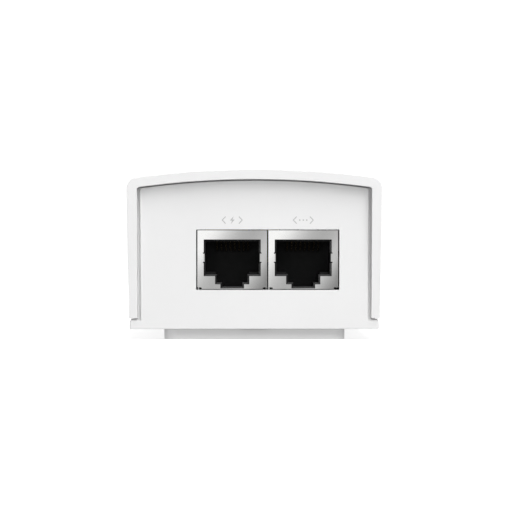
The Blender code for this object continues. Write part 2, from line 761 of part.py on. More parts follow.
def choke():
    """Two windings on an upright ring core."""
    ring = cut(rod((0, 8.2), 7.6, -3.5, 3.5, "Y", 28), rod((0, 8.2), 3.6, -5, 5, "Y", 20))
    foot = box((-7.4, -4.4, 0), (7.4, 4.4, 1.6))
    return joined(ring, foot)


def make_electronics(finishes):
    black, can, silver = finishes["package"], finishes["can"], finishes["aluminium"]
    on_board(block((3.2, 1.6, 0.9), 0.1), "status_led", finishes["lens"], 0, LIGHT_Y)
    on_board(block((22.0, 13.0, 6.0)), "data_transformer", black, 1.5, -24.5)
    for number, y in enumerate((-30.0, -18.5), 1):
        on_board(electrolytic(5.0, 16.0), f"output_capacitor_{number}", can, -17, y)
    make_transformer(finishes, -3, -3)
    on_board(disc(4.2, 3.4), "y_capacitor", finishes["dipped"], -19.6, -3)
    on_board(turned([(3.6, 0), (4.4, 0.4), (4.4, 1.4), (3.2, 1.6), (3.2, 7.0), (4.4, 7.2), (4.4, 8.6)]),
             "output_choke", finishes["ferrite"], 18, -31)
    make_heat_sink("secondary_heat_sink", silver, 18.6, -12, 20, 18)
    for name, y in POWER_Y.items():
        on_board(power_package(1), name, black, POWER_X, y)
    on_board(block((6.4, 4.6, 3.5)), "optocoupler", black, 15.6, 3.5)
    on_board(electrolytic(8.0, 20.5), "bulk_capacitor", can, -12.5, 18.5)
    make_heat_sink("primary_heat_sink", silver, 18.6, 20, 24, 20)
    on_board(block((5.0, 4.0, 1.6), 0.2), "pwm_controller", black, 4, 13)
    on_board(block((15.0, 3.6, 10.5), 0.4), "bridge_rectifier", black, 4, 29)
    on_board(choke(), "common_mode_choke", finishes["winding"], -13.5, 34)
    on_board(block((8.4, 15.0, 14.0), 0.5), "x_capacitor", finishes["film"], 16.6, 41)
    on_board(block((4.0, 7.4, 7.6), 0.5), "fuse", finishes["fuse"], -19.4, 45)
    on_board(disc(4.5, 3.4), "varistor", finishes["dipped"], -14.4, 47)


def make_insulation(finish):
    """A bent sheet of insulating card between the board's solder side and the base."""
    section = [(-18.0, 0), (18.0, 0), (18.0, 1.3), (17.6, 1.3), (17.6, 0.4), (-17.6, 0.4), (-17.6, 1.3), (-18.0, 1.3)]
    name_part(prism(section, -36.0, 36.0, "Y"), "insulation_sheet", finish, (0, 0, 7.6))


def make_light_pipe(finish):
    roof = CASE_HEIGHT - ROOF_WALL
    profile = [(LIGHT_RADIUS, BOARD_TOP + 1.4), (LIGHT_RADIUS, roof - 1.4), (2.4, roof - 1.4)]
    profile += [(2.4, roof - 0.4), (LIGHT_RADIUS, roof - 0.4), (LIGHT_RADIUS, CASE_HEIGHT - 0.1)]
    profile += [(LIGHT_RADIUS - 0.3, CASE_HEIGHT)]
    name_part(turned(profile, 20), "light_pipe", finish, (0, LIGHT_Y, 0))


def main():
    clear_scene()
    shell = material("shell_white", (0.84, 0.84, 0.84), 0.45)
    make_cover(shell)
    make_base(shell)
    make_bracket(material("bracket_white", (0.82, 0.82, 0.82), 0.5))
    make_screws(material("screw_zinc", (0.55, 0.56, 0.57), 0.35, 1.0))
    make_jacks(
        {
            "shield": material("shield_nickel", (0.72, 0.72, 0.71), 0.28, 1.0),
            "housing": material("jack_black", (0.02, 0.02, 0.02), 0.5),
            "block": material("block_black", (0.03, 0.03, 0.03), 0.5),
            "contact": material("contact_gold", (0.83, 0.62, 0.25), 0.25, 1.0),
        }
    )
    make_inlet(
        {
            "inlet": material("inlet_black", (0.025, 0.025, 0.027), 0.45),
            "pin": material("pin_nickel", (0.7, 0.69, 0.66), 0.25, 1.0),
        }
    )
    make_board(material("board_green", (0.03, 0.16, 0.08), 0.5))
    make_electronics(
        {
            "package": material("package_black", (0.03, 0.03, 0.03), 0.6),
            "can": material("can_sleeve", (0.05, 0.06, 0.09), 0.35),
            "aluminium": material("sink_aluminium", (0.78, 0.78, 0.79), 0.4, 1.0),
            "ferrite": material("ferrite_grey", (0.09, 0.09, 0.1), 0.6),
            "tape": material("winding_tape", (0.75, 0.6, 0.12), 0.35),
            "winding": material("winding_copper", (0.55, 0.25, 0.1), 0.35, 0.6),
            "film": material("film_yellow", (0.8, 0.6, 0.08), 0.45),
            "dipped": material("dipped_blue", (0.05, 0.16, 0.45), 0.35),
            "fuse": material("fuse_brown", (0.13, 0.06, 0.04), 0.5),
            "lens": material("led_lens", (0.85, 0.9, 0.75), 0.2),
        }
    )
    make_insulation(material("insulation_card", (0.35, 0.36, 0.33), 0.7))
    make_light_pipe(material("light_pipe_clear", (0.9, 0.92, 0.93), 0.1, transmission=0.8))


main()
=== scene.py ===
"""The looks of the PoE injector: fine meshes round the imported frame, their materials, a pale floor, studio
light and the camera. Shapes are written in millimetres, in the frame's own axes, and scaled to metres where a
mesh is made."""

import math

import bmesh
import bpy
from mathutils import Matrix, Vector


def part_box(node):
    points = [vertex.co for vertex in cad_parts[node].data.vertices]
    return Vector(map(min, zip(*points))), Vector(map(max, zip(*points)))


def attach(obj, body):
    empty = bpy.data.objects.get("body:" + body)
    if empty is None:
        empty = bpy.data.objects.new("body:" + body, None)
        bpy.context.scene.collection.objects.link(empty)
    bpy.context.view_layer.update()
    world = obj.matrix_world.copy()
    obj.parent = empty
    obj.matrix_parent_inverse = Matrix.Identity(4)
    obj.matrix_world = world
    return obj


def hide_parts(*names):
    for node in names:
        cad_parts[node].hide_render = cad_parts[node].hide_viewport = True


MM = 0.001
SHARP_EDGE = 50  # degrees between faces, above which an edge can be rounded
SHARP_SHADING = 38  # degrees, above which the shading breaks

# Case
ARCH_RADIUS = 195.0
SHOULDER_RADIUS = 2.5
COVER_WALL = 1.95  # side walls
ROOF_WALL = 2.15
COVER_LEAN = 0.39  # the cover is this much narrower at its foot, on each side
END_LEAN = 2.6  # the cover is this much shorter at its foot, at each end
INNER_STEP = 0.3  # the cover's inside is this much narrower under the roof than at the foot
INNER_SHOULDER = 0.6
PANEL_WALL = 2.0
PANEL_GAP = 0.12  # round an end panel's plate
ARCH_GAP = 0.28  # between a panel's face and the cover's roof
PANEL_HALF_TOP = 25.85
PANEL_HALF_FOOT = 25.65
PANEL_REBATE = 1.1  # how far the plate is behind the face
REBATE_GAP = 0.03  # a hairline, where the CAD keeps a working clearance
PANEL_SINK = 0.5  # how far the panels reach down into the floor
SIDE_WALL_FACE = 25.6
FLANGE_TOP = 4.42
FLANGE_CORNER = 0.3
FLANGE_SINK = 0.8  # how far walls and posts reach down into the floor
SILL_HALF = 27.9
SIDE_WALL = 1.6
SIDE_WALL_TOP = 12.1
BOSS_GAP = 0.3
CASE_EDGE = 0.12  # width of the rounding along the mouldings' edges
SCREW_X = 22.3
SCREW_Y = 52.2
POST_RADIUS = 2.6
POST_FOOT = (3.3, 7.5)  # radius and top
PILOT = (1.35, 24.0)  # radius and top
SCREW_HOLE = 1.5
STANDOFF = (1.8, 9.5)  # radius and top
STANDOFF_PLACES = ((-21.0, -44.0), (21.0, -44.0), (-21.0, 44.0), (21.0, 44.0))
LIGHT_HOLE = 1.65
COUNTERBORE = 2.4
COUNTERBORE_TOP = 5.5
POCKET_ROOM = 0.3
POCKET_ROOF = 6.4
POCKET_COVER = (4.0, 1.3, 7.4)  # half width, wall at each end, and top
LATCH_GROOVE = ((-3.0, -54.6), (3.0, -41.5), 3.5)  # two corners, and the roof

# Case screws: radius and height above the head's face, then shank
SCREW_CROWN = ((0.4, 0.0), (1.0, 0.04), (1.5, 0.16), (1.9, 0.4), (2.08, 0.75))
SCREW_HEAD = 2.1
SCREW_SHANK = (1.2, 20.0)  # radius, and where its point starts
CROSS_RECESS = (1.3, 0.28, 0.95)  # half length, half width and depth

# Jacks, in a frame of their own: the origin is at the foot of the front face, +Y goes in
SHEET = 0.3
SHEET_EDGE = 0.06
MOUTH_TOP = 11.22
MOUTH_STEPS = ((6.45, 2.92), (3.87, 1.07), (2.68, 0.14))
CONTACTS = 8
WIRE = 0.4
LEAD_IN = 0.42
SPRING_LOW = 6.05
SPRING_HIGH = 8.15
SPRING_RELIEF = (0.17, 0.14)  # depth, and half height
SPRING_PATH = (
    (0.45, 0.16),
    (0.12, 0.16),
    (-0.12, 0.26),
    (-0.22, 0.5),
    (-0.26, 0.9),
    (-0.3, 1.5),
    (-0.22, 2.1),
    (0.02, 2.7),
)
SPRING_HALF = 0.11  # half the tongue's thickness
SPRING_INSET = 0.12  # from each relief to the tongue
SHIELD_NOTCH = (1.0, 0.4)  # width and height, at both lower corners
SHIELD_TAB = (1.6, 1.0)  # length, and top
SHIELD_TAB_STARTS = (5.0, 11.5)
WINDOW_GAP = (0.26, 0.17)  # beside the shields, and above and below them
CONTACT_BEND = (4.2, 11.5)
NOSE_RADIUS = 0.45
CONTACT_ARM = ((0.6, -0.72), (1.8, -1.2), (7.5, -2.58), (8.2, -2.65), (9.0, -2.65))  # from the bend
WIRE_ROUNDING = 0.55  # 1 makes a round wire, 0 a square one

# Mains inlet
LOBE_RADIUS = 4.1
INLET_FLOOR = 45.0
PINS = {"live": (-5.0, 16.8), "neutral": (5.0, 16.8), "earth": (0.0, 23.3)}
PIN_RADIUS = 1.2
PIN_CLEARANCE = 0.1
PIN_TAIL = (0.8, 0.9)  # radius, and distance from the pin's inner end

# Bracket
BRACKET_PLATE = 2.36  # a hairline below the base, where the CAD keeps a working clearance
BRACKET_CORNER = 3.0
HOOK_X = 12.0
HOOK_Y = 30.0
HOOK_LENGTH = 7.0
HOOK_NECK = 1.2
HOOK_HEAD = 2.7
HOOK_HEAD_BOTTOM = 4.57
HOOK_CHAMFER = 0.6
HOOK_EDGE = 0.12
TRAVEL = 9.0
WALL_SCREWS = (-12.0, 28.0)
WALL_HOLE = 2.2
COUNTERSINK = ((2.1, 0.4), (4.4, 0.2))  # radius and height from the underside, then from the top
TONGUE_SLOT = (
    (-5.5, -25.0),
    (-5.5, -48.0),
    (5.5, -48.0),
    (5.5, -25.0),
    (4.5, -25.0),
    (4.5, -47.0),
    (-4.5, -47.0),
    (-4.5, -25.0),
)
LATCH_BUMP = ((-45.0, 1.6), (-42.0, 1.6), (-42.0, 3.1), (-42.6, 3.1), (-45.0, BRACKET_PLATE))
LATCH_HALF = 2.2

# Port marks
MARK_RISE = 2.3  # above the shields
MARK_HALF = 2.25
MARK_LINE = 0.1
MARK_THICKNESS = 0.015
CHEVRON = (0.75, 0.8)  # depth, and half height
BOLT = ((0.3, 0.88), (-0.55, -0.12), (-0.06, -0.12), (-0.3, -0.88), (0.55, 0.12), (0.06, 0.12))
DOTS = (-0.8, 0.0, 0.8)
DOT_RADIUS = 0.17

# View
CAMERA_DISTANCE = 600.0
VIEW_WIDTH = 114.7  # what the frame's width takes in at the cover's front rim
CAMERA_HEIGHT = 19.17
CAMERA_SIDE = 0.14
SENSOR_WIDTH = 36.0
CLIP = (0.01, 20.0)

# Light
STAGE_RADIUS = 3000.0
WORLD_HORIZON = 0.56
WORLD_ZENITH = 0.13
FLOOR_GLOW = (0.55, 1.0)  # near the object, and far off
FLOOR_FADE = (80.0, 600.0)
BOUNCE_GLOW = 0.6
BACKDROP_GLOW = 1.1
JACK_END = (0.0, -57.0, 18.0)
INLET_END = (0.0, 57.0, 18.0)
KEY_PLACE = (234.0, -560.0, 727.0)
KEY_SIZE = (600.0, 1300.0)
KEY_POWER = 10.9
FRONT_PLACE = (0.0, -1200.0, 40.0)
FRONT_SIZE = (500.0, 300.0)
FRONT_POWER = 0.6
REAR_PLACE = (-420.0, 820.0, 450.0)
REAR_SIZE = (500.0, 400.0)
REAR_POWER = 2.4

# The shields' crown and the card that it mirrors
CROWN_DIRECTION = (0.82, 0.0, -0.572)
CROWN_MIDDLES = {"poe": -3.05, "lan": -1.1}  # the crown's top, along that direction from the jack's origin
CROWN_SLOPE = 0.087
CROWN_REACH = 10.0
CARD_Y = -1400.0
CARD_HALF = 420.0
CARD_REACH = 269.0
CARD_GLOW = 1.08
LIP_CARDS = {"side_card": ((-800.0, -260.0, 60.0), 1.6), "top_card": ((-100.0, -260.0, 750.0), 1.1)}
LIP_CARD_HALF = 250.0
CARD_STOPS = (
    (0.0, 1.0),
    (0.06, 1.0),
    (0.11, 0.98),
    (0.13, 0.915),
    (0.18, 0.79),
    (0.22, 0.685),
    (0.27, 0.61),
    (0.3, 0.54),
    (0.345, 0.495),
    (0.39, 0.455),
    (0.45, 0.42),
    (0.5, 0.435),
    (0.59, 0.495),
    (0.63, 0.55),
    (0.67, 0.6),
    (0.73, 0.63),
    (0.77, 0.49),
    (0.82, 0.37),
    (0.87, 0.3),
    (0.92, 0.24),
    (1.0, 0.2),
)


# Mesh helpers


def shape(points, faces):
    mesh = bpy.data.meshes.new("shape")
    mesh.from_pydata([[value * MM for value in point] for point in points], [], faces)
    work = bmesh.new()
    work.from_mesh(mesh)
    bmesh.ops.recalc_face_normals(work, faces=work.faces)
    work.to_mesh(mesh)
    work.free()
    obj = bpy.data.objects.new("shape", mesh)
    bpy.context.scene.collection.objects.link(obj)
    return obj


def along(axis, first, second, position):
    """A point from its two coordinates across an axis, in X, Y, Z order, and its position along it."""
    if axis == "X":
        return (position, first, second)
    if axis == "Y":
        return (first, position, second)
    return (first, second, position)


def skin(rings):
    """A solid through rings of points."""
    count = len(rings[0])
    points = [point for ring in rings for point in ring]
    faces = [list(range(count)), list(range(len(points) - count, len(points)))]
    for ring in range(len(rings) - 1):
        start = ring * count
        for i in range(count):
            j = (i + 1) % count
            faces.append([start + i, start + j, start + count + j, start + count + i])
    return shape(points, faces)


def loft(rings, axis):
    """A solid through rings, each an outline and its position along the axis."""
    return skin([[along(axis, *point, position) for point in outline] for outline, position in rings])


def prism(outline, start, end, axis):
    return loft([(outline, start), (outline, end)], axis)


def box(low, high):
    outline = [(low[0], low[1]), (high[0], low[1]), (high[0], high[1]), (low[0], high[1])]
    return prism(outline, low[2], high[2], "Z")


def arc(centre, radius, start, end, segments):
    """Points on an arc, its angles in degrees."""
    angles = [math.radians(start + (end - start) * i / segments) for i in range(segments + 1)]
    return [(centre[0] + radius * math.cos(a), centre[1] + radius * math.sin(a)) for a in angles]


def circle(centre, radius, segments):
    return arc(centre, radius, 0, 360, segments)[:-1]


def rod(centre, radius, start, end, axis="Z", segments=48):
    return prism(circle(centre, radius, segments), start, end, axis)


def rounded(width, height, radius, centre=(0.0, 0.0), segments=8):
    x, y = width / 2 - radius, height / 2 - radius
    points = []
    for cx, cy, turn in ((x, y, 0), (-x, y, 90), (-x, -y, 180), (x, -y, 270)):
        points += arc((centre[0] + cx, centre[1] + cy), radius, turn, turn + 90, segments)
    return points


def turned(profile, segments=48):
    return loft([(circle((0, 0), radius, segments), z) for radius, z in profile], "Z")


def smooth_outline(corners, radius, segments=4):
    """The outline with each corner rounded, by less where a side is short."""
    points = []
    count = len(corners)
    for i, corner in enumerate(corners):
        here = Vector(corner)
        back = Vector(corners[i - 1]) - here
        ahead = Vector(corners[(i + 1) % count]) - here
        half = back.angle(ahead) / 2
        reach = min(radius / math.tan(half), back.length / 2.2, ahead.length / 2.2)
        start, end = here + back.normalized() * reach, here + ahead.normalized() * reach
        for k in range(segments + 1):
            t = k / segments
            point = start * (1 - t) ** 2 + here * 2 * t * (1 - t) + end * t * t
            points.append(tuple(point))
    return points


def thickened(path, half):
    """The outline of a flat strip that follows a path, square at its ends."""
    left, right = [], []
    for i, (x, y) in enumerate(path):
        before = path[max(i - 1, 0)]
        after = path[min(i + 1, len(path) - 1)]
        steps = ((x - before[0], y - before[1]), (after[0] - x, after[1] - y))
        angles = [math.atan2(dy, dx) for dx, dy in steps if dx or dy]
        turn = (angles[-1] - angles[0] + math.pi) % (2 * math.pi) - math.pi
        heading = angles[0] + turn / 2 + math.pi / 2
        reach = half / math.cos(turn / 2)
        left.append((x + reach * math.cos(heading), y + reach * math.sin(heading)))
        right.append((x - reach * math.cos(heading), y - reach * math.sin(heading)))
    return left + right[::-1]


def boolean(body, tools, operation):
    for tool in tools:
        modifier = body.modifiers.new("boolean", "BOOLEAN")
        modifier.operation = operation
        modifier.object = tool
    graph = bpy.context.evaluated_depsgraph_get()
    made = bpy.data.meshes.new_from_object(body.evaluated_get(graph))
    body.modifiers.clear()
    body.data = made
    for tool in tools:
        bpy.data.objects.remove(tool)
    return body


def joined(body, *tools):
    return boolean(body, tools, "UNION")


def cut(body, *tools):
    return boolean(body, tools, "DIFFERENCE")


def eased(body, width, segments=3, where=None):
    """The body with its sharp edges rounded: all, or those whose middle, in millimetres, passes a test."""
    work = bmesh.new()
    work.from_mesh(body.data)
    edges = []
    for edge in work.edges:
        middle = (edge.verts[0].co + edge.verts[1].co) / (2 * MM)
        if edge.calc_face_angle(0) > math.radians(SHARP_EDGE) and (where is None or where(middle)):
            edges.append(edge)
    bmesh.ops.bevel(
        work,
        geom=edges,
        offset=width * MM,
        segments=segments,
        profile=0.5,
        affect="EDGES",
        clamp_overlap=True,
    )
    work.to_mesh(body.data)
    work.free()
    return body


def moved(body, x=0.0, y=0.0, z=0.0):
    body.data.transform(Matrix.Translation((x * MM, y * MM, z * MM)))
    return body


def node_box(node):
    """(low, high) of a CAD node, in millimetres."""
    low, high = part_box(node)
    return low / MM, high / MM


def piece(obj, name, body, finish, slot, *nodes):
    """Names a finished mesh, gives it its material, and lets it stand for CAD nodes."""
    obj.name = name
    obj.data.name = name
    obj.data.materials.clear()
    obj.data.materials.append(finish)
    obj.data.shade_smooth()
    obj.data.set_sharp_from_angle(angle=math.radians(SHARP_SHADING))
    normals = obj.modifiers.new("weighted_normals", "WEIGHTED_NORMAL")
    normals.keep_sharp = True
    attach(obj, body)
    if nodes:
        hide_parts(*nodes)
    return obj


# Materials


class Finish:
    """A Principled material under construction, with short calls for the nodes that these finishes share."""

    def __init__(self, name, roughness, metallic=0.0):
        self.material = bpy.data.materials.new(name)
        self.material.use_nodes = True
        self.tree = self.material.node_tree
        self.shader = self.tree.nodes["Principled BSDF"]
        self.shader.inputs["Roughness"].default_value = roughness
        self.shader.inputs["Metallic"].default_value = metallic
        self.coordinates = self.tree.nodes.new("ShaderNodeTexCoord")

    def link(self, source, target):
        self.tree.links.new(source, target)

    def stretched(self, scale):
        """Object coordinates, scaled along each axis."""
        mapping = self.tree.nodes.new("ShaderNodeMapping")
        mapping.inputs["Scale"].default_value = scale
        self.link(self.coordinates.outputs["Object"], mapping.inputs["Vector"])
        return mapping.outputs["Vector"]

    def noise(self, scale, detail=2.0, stretch=(1.0, 1.0, 1.0)):
        texture = self.tree.nodes.new("ShaderNodeTexNoise")
        texture.inputs["Scale"].default_value = scale
        texture.inputs["Detail"].default_value = detail
        self.link(self.stretched(stretch), texture.inputs["Vector"])
        return texture.outputs["Fac"]

    def cell_edges(self, scale):
        texture = self.tree.nodes.new("ShaderNodeTexVoronoi")
        texture.feature = "DISTANCE_TO_EDGE"
        texture.inputs["Scale"].default_value = scale
        self.link(self.stretched((1.0, 1.0, 1.0)), texture.inputs["Vector"])
        return texture.outputs["Distance"]

    def wave(self, scale, distortion):
        """Bands that follow one another along Z."""
        texture = self.tree.nodes.new("ShaderNodeTexWave")
        texture.bands_direction = "Z"
        texture.inputs["Scale"].default_value = scale
        texture.inputs["Distortion"].default_value = distortion
        self.link(self.stretched((1.0, 1.0, 1.0)), texture.inputs["Vector"])
        return texture.outputs["Fac"]

    def crown(self, direction, middle, bend):
        """Height, in metres, of a surface that bends by those radians per millimetre along a direction."""
        along_it = self.tree.nodes.new("ShaderNodeVectorMath")
        along_it.operation = "DOT_PRODUCT"
        along_it.inputs[1].default_value = direction
        self.link(self.coordinates.outputs["Object"], along_it.inputs[0])
        offset = self.tree.nodes.new("ShaderNodeMath")
        offset.operation = "SUBTRACT"
        offset.inputs[1].default_value = middle * MM
        self.link(along_it.outputs["Value"], offset.inputs[0])
        square = self.tree.nodes.new("ShaderNodeMath")
        square.operation = "MULTIPLY"
        self.link(offset.outputs["Value"], square.inputs[0])
        self.link(offset.outputs["Value"], square.inputs[1])
        height = self.tree.nodes.new("ShaderNodeMath")
        height.operation = "MULTIPLY"
        height.inputs[1].default_value = -bend / (2 * MM)
        self.link(square.outputs["Value"], height.inputs[0])
        return height.outputs["Value"]

    def spread(self, source, low, high, start=0.3, end=0.7):
        """The source's range from start to end, mapped onto low to high."""
        node = self.tree.nodes.new("ShaderNodeMapRange")
        node.inputs["From Min"].default_value = start
        node.inputs["From Max"].default_value = end
        node.inputs["To Min"].default_value = low
        node.inputs["To Max"].default_value = high
        self.link(source, node.inputs["Value"])
        return node.outputs["Result"]

    def colours(self, source, *stops):
        """A ramp from (position, colour) stops."""
        ramp = self.tree.nodes.new("ShaderNodeValToRGB")
        while len(ramp.color_ramp.elements) < len(stops):
            ramp.color_ramp.elements.new(0.5)
        for element, (position, colour) in zip(ramp.color_ramp.elements, stops):
            element.position = position
            element.color = (*colour, 1.0)
        self.link(source, ramp.inputs["Fac"])
        self.link(ramp.outputs["Color"], self.shader.inputs["Base Color"])

    def plain(self, colour):
        self.shader.inputs["Base Color"].default_value = (*colour, 1.0)

    def rough(self, source, low, high):
        self.link(self.spread(source, low, high), self.shader.inputs["Roughness"])

    def relief(self, source, depth_mm):
        """Bumps of that depth."""
        bump = self.tree.nodes.new("ShaderNodeBump")
        bump.inputs["Strength"].default_value = 1.0
        bump.inputs["Distance"].default_value = depth_mm * MM
        self.link(source, bump.inputs["Height"])
        self.link(bump.outputs["Normal"], self.shader.inputs["Normal"])


def moulded(name, colour, roughness=0.42, grain=0.006, specular=0.5):
    """Injection-moulded plastic: spark-eroded grain, faint tone and gloss changes."""
    made = Finish(name, roughness)
    made.shader.inputs["Specular IOR Level"].default_value = specular
    tone = made.noise(60.0, 3.0)
    shade = tuple(value * 0.985 for value in colour)
    made.colours(tone, (0.35, shade), (0.65, colour))
    made.rough(made.noise(900.0, 3.0), roughness - 0.05, roughness + 0.06)
    made.relief(made.noise(3600.0, 2.0), grain)
    return made.material


def plated(name, colour, roughness=0.26, streak=(1.0, 1.0, 30.0)):
    """Plated sheet with fine rolling marks."""
    made = Finish(name, roughness, 1.0)
    marks = made.noise(700.0, 4.0, streak)
    dark = tuple(value * 0.94 for value in colour)
    made.colours(marks, (0.3, dark), (0.7, colour))
    made.rough(made.noise(350.0, 3.0), roughness - 0.05, roughness + 0.07)
    made.relief(marks, 0.0012)
    return made.material


def shield_sheet(name):
    """Bright-plated front sheet, crowned a little along one diagonal by its stamping."""
    made = Finish(f"{name}_shield_plate", 0.09, 1.0)
    marks = made.noise(700.0, 4.0, (1.0, 1.0, 30.0))
    made.colours(marks, (0.3, (0.83, 0.83, 0.82)), (0.7, (0.88, 0.88, 0.87)))
    made.rough(made.noise(350.0, 3.0), 0.07, 0.12)
    made.relief(made.crown(CROWN_DIRECTION, CROWN_MIDDLES[name], CROWN_SLOPE / CROWN_REACH), 1.0 / MM)
    return made.material


def gold_wire():
    made = Finish("gold_plate", 0.22, 1.0)
    made.colours(made.noise(1500.0, 3.0), (0.3, (0.72, 0.56, 0.3)), (0.7, (0.82, 0.66, 0.38)))
    made.rough(made.noise(2600.0, 2.0), 0.16, 0.3)
    return made.material


def clear_plastic():
    made = Finish("clear_acrylic", 0.08)
    made.plain((0.93, 0.95, 0.96))
    made.shader.inputs["Transmission Weight"].default_value = 0.75
    made.shader.inputs["IOR"].default_value = 1.49
    made.relief(made.noise(900.0, 2.0), 0.002)
    return made.material


def solder_resist():
    """Green resist, paler over the tracks that show through it."""
    made = Finish("solder_resist", 0.32)
    made.colours(made.cell_edges(420.0), (0.02, (0.08, 0.27, 0.13)), (0.09, (0.02, 0.13, 0.06)))
    made.relief(made.cell_edges(420.0), 0.02)
    return made.material


def wound(name, dark, light, turns_per_mm=2.0):
    """Turns of wire or tape."""
    made = Finish(name, 0.32)
    turns = made.wave(turns_per_mm * 160.0, 0.6)
    made.colours(turns, (0.1, dark), (0.6, light))
    made.relief(turns, 0.08)
    return made.material


def make_finishes():
    return {
        "cover": moulded("white_cover", (0.85, 0.85, 0.85)),
        "shell": moulded("white_shell", (0.82, 0.82, 0.82)),
        "bracket": moulded("white_bracket", (0.85, 0.85, 0.85), 0.46),
        "print": moulded("grey_print", (0.5, 0.5, 0.5), 0.5, 0.002),
        "black": moulded("black_moulding", (0.012, 0.012, 0.0124), 0.5, 0.004, 0.15),
        "inlet": moulded("black_inlet", (0.02, 0.02, 0.021), 0.4, 0.008),
        "package": moulded("package_epoxy", (0.02, 0.02, 0.02), 0.55, 0.012),
        "poe_shield": shield_sheet("poe"),
        "lan_shield": shield_sheet("lan"),
        # a greyer, glossier black for the lower and right-hand lead-in faces: a painted highlight where the
        # light falls on them
        "lip": moulded("painted_highlight_black", (0.045, 0.045, 0.046), 0.16, 0.002),
        "pin": plated("plated_pin", (0.75, 0.74, 0.7), 0.22, (1.0, 12.0, 1.0)),
        "zinc": plated("zinc_screw", (0.6, 0.61, 0.62), 0.32),
        "sink": plated("sink_aluminium", (0.8, 0.8, 0.81), 0.38, (1.0, 1.0, 14.0)),
        "gold": gold_wire(),
        "clear": clear_plastic(),
        "board": solder_resist(),
        "can": moulded("can_sleeve", (0.02, 0.025, 0.045), 0.25, 0.003),
        "ferrite": moulded("ferrite", (0.045, 0.045, 0.05), 0.55, 0.03),
        "tape": wound("winding_tape", (0.5, 0.37, 0.05), (0.78, 0.62, 0.12), 0.5),
        "copper": wound("enamelled_copper", (0.2, 0.06, 0.02), (0.62, 0.27, 0.1)),
        "film": moulded("film_box", (0.62, 0.42, 0.03), 0.3, 0.006),
        "dipped": moulded("dipped_coat", (0.02, 0.09, 0.33), 0.22, 0.02),
        "fuse": moulded("fuse_case", (0.06, 0.022, 0.015), 0.4, 0.008),
        "lens": moulded("led_lens", (0.8, 0.86, 0.66), 0.15, 0.002),
        "card": moulded("insulating_card", (0.3, 0.31, 0.28), 0.75, 0.03),
    }


# Case


def arch(radius, half_width, shoulder, top, segments=96, steps=12):
    """The top of a section, right to left: two shoulders and the arch between them."""
    centre = top - ARCH_RADIUS
    reach = math.sqrt((radius - shoulder) ** 2 - (half_width - shoulder) ** 2)
    lean = math.degrees(math.atan2(reach, half_width - shoulder))
    points = arc((half_width - shoulder, centre + reach), shoulder, 0, lean, steps)
    points += arc((0, centre), radius, lean, 180 - lean, segments)[1:-1]
    points += arc((shoulder - half_width, centre + reach), shoulder, 180 - lean, 180, steps)
    return points


def corner_places():
    return [(x, y) for y in (-SCREW_Y, SCREW_Y) for x in (-SCREW_X, SCREW_X)]


def make_cover(finish):
    low, high = node_box("top_cover")
    pipe_low, pipe_high = node_box("light_pipe")
    half_foot = high.x - COVER_LEAN
    outer = arch(ARCH_RADIUS, high.x, SHOULDER_RADIUS, high.z)
    inner_half = high.x - COVER_WALL - INNER_STEP
    inner = arch(ARCH_RADIUS - ROOF_WALL, inner_half, INNER_SHOULDER, high.z, steps=6)
    right = [(half_foot - COVER_WALL, low.z), (half_foot, low.z)]
    left = [(-half_foot, low.z), (COVER_WALL - half_foot, low.z)]
    section = right + outer + left + inner[::-1]
    lean = END_LEAN / (high.z - low.z)
    ends = [[(x, side * (high.y - lean * (high.z - z)), z) for x, z in section] for side in (-1, 1)]
    cover = eased(skin(ends), CASE_EDGE, 4)
    roof = high.z - ROOF_WALL
    boss_foot, boss_top = SIDE_WALL_TOP + BOSS_GAP, roof - 0.9
    bosses = [rod(place, POST_RADIUS, boss_foot, boss_top, segments=32) for place in corner_places()]
    pilots = [rod(place, PILOT[0], SIDE_WALL_TOP, PILOT[1], segments=24) for place in corner_places()]
    light = (pipe_low + pipe_high) / 2
    hole = rod((light.x, light.y), LIGHT_HOLE, roof - 1, high.z + 1)
    cover = cut(joined(cover, *bosses), hole, *pilots)
    piece(cover, "cover_shell", "case", finish, "shell_white", "top_cover")


def end_panel_section(half_foot, half_top, gap, foot, top):
    outline = arch(ARCH_RADIUS - ROOF_WALL - gap, half_top, INNER_SHOULDER, top, steps=6)
    return [(half_foot, foot)] + outline + [(-half_foot, foot)]


def end_panel(side, face, foot):
    """An end panel: its face, and the wider plate behind it that fills the cover from wall to wall."""
    cover_foot, cover = node_box("top_cover")
    inner_top = cover.x - COVER_WALL - INNER_STEP - REBATE_GAP
    inner_foot = cover.x - COVER_LEAN - COVER_WALL - REBATE_GAP
    front = end_panel_section(PANEL_HALF_FOOT, PANEL_HALF_TOP, ARCH_GAP, foot, cover.z)
    plate = end_panel_section(inner_foot, inner_top, PANEL_GAP, foot, cover.z)
    step = face - PANEL_REBATE
    front = eased(prism(front, side * face, side * (step - 0.2), "Y"), CASE_EDGE)
    first, second = sorted((side * step, side * (face - PANEL_WALL)))
    sill = box((-SILL_HALF, first, foot), (SILL_HALF, second, cover_foot.z - PANEL_GAP))
    return joined(front, prism(plate, first, second, "Y"), sill)


def hook_pocket(x, y, low):
    """Cutters for one hook's pocket: a chamber, a front entry for its head, and a slot for its neck."""
    back = y + HOOK_LENGTH / 2 + POCKET_ROOM
    front = y - HOOK_LENGTH / 2 - TRAVEL - POCKET_ROOM
    wide, narrow = HOOK_HEAD + POCKET_ROOM, HOOK_NECK + POCKET_ROOM
    chamber = box((x - wide, front, FLANGE_TOP), (x + wide, back, POCKET_ROOF))
    entry = box((x - wide, front, low - 1), (x + wide, back - TRAVEL, FLANGE_TOP + 1))
    slot = box((x - narrow, front + 1, low - 1), (x + narrow, back, FLANGE_TOP + 1))
    return [chamber, entry, slot]


def hook_places():
    return [(x, y) for y in (-HOOK_Y, HOOK_Y) for x in (-HOOK_X, HOOK_X)]


